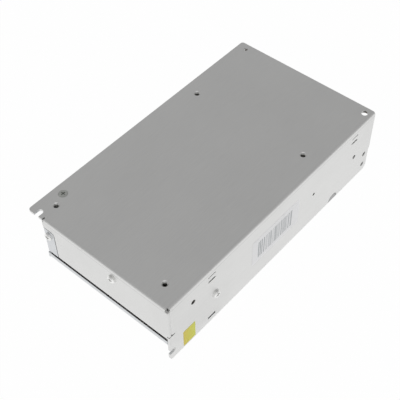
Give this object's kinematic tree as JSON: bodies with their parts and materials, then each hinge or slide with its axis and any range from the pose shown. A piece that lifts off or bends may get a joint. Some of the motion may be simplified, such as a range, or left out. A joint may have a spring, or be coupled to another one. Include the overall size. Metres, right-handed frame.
{
  "type": "mesh case switching power supply",
  "caption": "Enclosed switching power supply in a folded metal case with a perforated cover, a barrier terminal block under a hinged flap, a range switch and a trimmer.",
  "frame": {"origin": "middle of the whole outline on the plane of the mesh cover's outer face, on which the case lies", "axes": "+X along the case towards the terminal end, +Y from the solid side wall towards the cover's long side, +Z out of the base plate"},
  "size_m": [0.2006, 0.1116, 0.05],
  "materials": {
    "chassis_aluminium": "bare sheet, fine rolled grain",
    "cover_steel": "zinc coated sheet",
    "screw_zinc": "zinc plated",
    "screw_dark": "dark plated",
    "label_paper": "paper label with plain bars",
    "sticker_yellow": "plain paper sticker",
    "board_laminate": "paper laminate",
    "brass_parts": "turned brass",
    "film_black": "insulating film",
    "block_plastic": "moulded black",
    "terminal_metal": "tin plated",
    "clear_plastic": "clear moulding",
    "trim_blue": "moulded blue",
    "trim_white": "moulded white",
    "led_green": "tinted epoxy",
    "slider_red": "moulded red",
    "fuse_glass": "clear tube",
    "capacitor_box_yellow": "moulded box",
    "ferrite": "ground ferrite",
    "copper_wire": "enamelled copper",
    "disc_blue": "dipped disc",
    "disc_green": "dipped disc",
    "epoxy_black": "moulded epoxy",
    "sleeve_black": "shrunk sleeve",
    "sleeve_green": "shrunk sleeve",
    "bobbin_plastic": "moulded bobbin",
    "winding_tape": "polyester tape",
    "core_powder": "painted powder core",
    "heatsink_aluminium": "extruded",
    "pad_grey": "silicone pad",
    "resistor_body": "coated ceramic"
  },
  "bodies": {
    "case": {"chassis": "chassis_aluminium", "mesh_cover": "cover_steel", "side_clamp_screw": "screw_zinc", "end_wall_screw": "screw_zinc", "cover_tab_screw": "screw_zinc", "cover_base_screw": "screw_dark", "barcode_label": "label_paper", "yellow_sticker": "sticker_yellow", "circuit_board": "board_laminate", "board_standoffs": "brass_parts", "board_screws": "screw_zinc", "insulation_sheet": "film_black", "terminal_block": "block_plastic", "terminal_clamps": "brass_parts", "terminal_screws": "terminal_metal", "trim_pot_body": "trim_blue", "power_led": "led_green", "selector_body": "block_plastic", "fuse_tube": "fuse_glass", "fuse_caps": "terminal_metal", "fuse_clips": "terminal_metal", "x_capacitor": "capacitor_box_yellow", "filter_choke_core": "ferrite", "filter_choke_windings": "copper_wire", "y_capacitors": "disc_blue", "inrush_thermistor": "disc_green", "bridge_rectifier": "epoxy_black", "bulk_capacitor_1": "sleeve_black", "bulk_capacitor_2": "sleeve_black", "transformer_core": "ferrite", "transformer_bobbin": "bobbin_plastic", "transformer_winding": "winding_tape", "output_choke_core": "core_powder", "output_choke_winding": "copper_wire", "output_capacitor_1": "sleeve_green", "output_capacitor_2": "sleeve_green", "output_capacitor_3": "sleeve_green", "output_capacitor_4": "sleeve_green", "output_heatsink": "heatsink_aluminium", "output_rectifiers": "epoxy_black", "rectifier_screws": "screw_zinc", "transistor_pads": "pad_grey", "switching_transistors": "epoxy_black", "clamp_bar": "cover_steel", "driver_transformer": "winding_tape", "control_chip": "epoxy_black", "power_resistors": "resistor_body", "earth_lug": "terminal_metal"},
    "flap": {"terminal_cover": "clear_plastic"},
    "rotor": {"trim_pot_rotor": "trim_white"},
    "slider": {"selector_slider": "slider_red"}
  },
  "joints": [
    {"name": "terminal_cover_hinge", "type": "hinge", "parent": "case", "child": "flap", "pos_m": [0.0736, -0.0047, 0.01915], "axis": [0, 1, 0], "range_deg": [0, 90]},
    {"name": "trim_pot_turn", "type": "hinge", "parent": "case", "child": "rotor", "pos_m": [0.0808, 0.0453, 0.03285], "axis": [0, 0, 1], "range_deg": [-130, 130]},
    {"name": "range_switch_slide", "type": "slide", "parent": "case", "child": "slider", "axis": [1, 0, 0], "range_m": [0, 0.005]}
  ]
}
